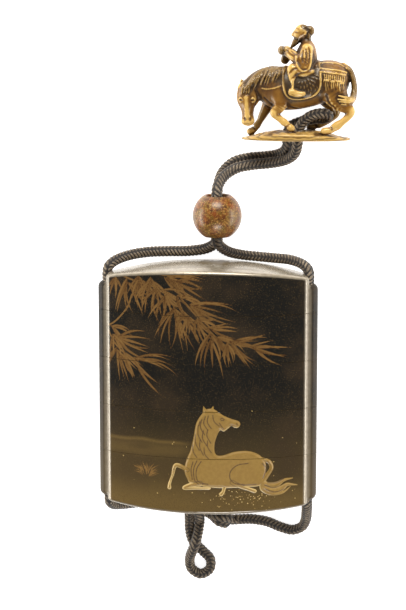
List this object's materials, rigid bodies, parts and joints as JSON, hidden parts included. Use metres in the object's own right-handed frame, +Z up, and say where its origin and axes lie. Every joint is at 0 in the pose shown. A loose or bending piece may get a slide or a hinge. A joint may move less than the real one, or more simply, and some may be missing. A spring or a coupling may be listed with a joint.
{
  "type": "inro",
  "caption": "Tiered lacquer case on a silk cord, with a round sliding bead and a carved horse-and-rider toggle, lying on its back.",
  "frame": {"origin": "on the middle line of the narrow flat on the case's back, 37.8 mm from the crown, on the surface it lies on", "axes": "+Z up from the surface towards the picture on the front, +Y from the foot of the case towards the toggle, +X to the right of the picture"},
  "size_m": [0.0785, 0.1764, 0.0223],
  "materials": {
    "lacquer": "polished dark lacquer with gold powder",
    "bead_lacquer": "polished mottled gold and red-brown lacquer",
    "carving": "stained, worn and polished carving",
    "silk": "braided silk"
  },
  "bodies": {
    "root": {"lid": "lacquer", "case_first": "lacquer", "case_second": "lacquer", "case_third": "lacquer", "case_lowest": "lacquer", "bead": "bead_lacquer", "toggle": "carving", "cord": "silk", "cord_loop": "silk", "cord_knot": "silk"}
  },
  "joints": []
}
